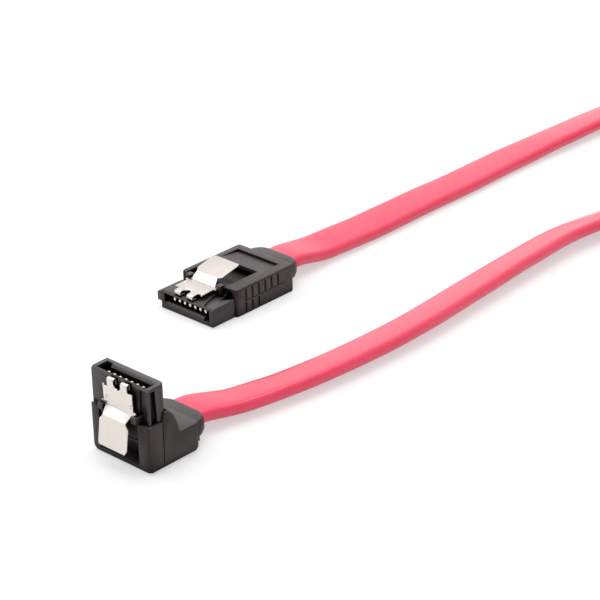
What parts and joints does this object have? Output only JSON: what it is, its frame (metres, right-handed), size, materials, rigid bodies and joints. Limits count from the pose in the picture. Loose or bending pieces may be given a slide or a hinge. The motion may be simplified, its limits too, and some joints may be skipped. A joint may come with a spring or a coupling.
{
  "type": "sata data cable",
  "caption": "Flat red SATA data cable with one straight and one right-angle latching plug, its spare length in a strapped loop.",
  "frame": {"origin": "middle of the underside of the straight plug's hood", "axes": "-Y out of the straight plug's mating face, +Y towards the cable, -Z into the table it lies on"},
  "size_m": [0.0499, 0.2666, 0.0146],
  "materials": {
    "insulator_plastic": "satin moulded",
    "hood_plastic": "fine moulded texture",
    "contact_plating": "bright plating",
    "latch_steel": "satin rolled sheet",
    "jacket_vinyl": "satin extruded",
    "strap_plastic": "matte"
  },
  "bodies": {
    "cable": {"straight_insulator": "insulator_plastic", "straight_contact_1": "contact_plating", "straight_contact_2": "contact_plating", "straight_contact_3": "contact_plating", "straight_contact_4": "contact_plating", "straight_contact_5": "contact_plating", "straight_contact_6": "contact_plating", "straight_contact_7": "contact_plating", "straight_hood": "hood_plastic", "angled_insulator": "insulator_plastic", "angled_contact_1": "contact_plating", "angled_contact_2": "contact_plating", "angled_contact_3": "contact_plating", "angled_contact_4": "contact_plating", "angled_contact_5": "contact_plating", "angled_contact_6": "contact_plating", "angled_contact_7": "contact_plating", "angled_hood": "hood_plastic", "cable_jacket": "jacket_vinyl", "cable_strap": "strap_plastic"},
    "straight_leaf": {"straight_latch": "latch_steel"},
    "angled_leaf": {"angled_latch": "latch_steel"}
  },
  "joints": [
    {"name": "straight_latch_press", "type": "hinge", "parent": "cable", "child": "straight_leaf", "pos_m": [-0.00082, -0.01227, 0.00417], "axis": [-1, 0, 0], "range_deg": [0, 6], "stiffness_Nm_per_rad": 0.3},
    {"name": "angled_latch_press", "type": "hinge", "parent": "cable", "child": "angled_leaf", "pos_m": [0.02815, -0.05412, 0.01409], "axis": [1, 0, 0], "range_deg": [0, 4], "stiffness_Nm_per_rad": 0.3}
  ]
}
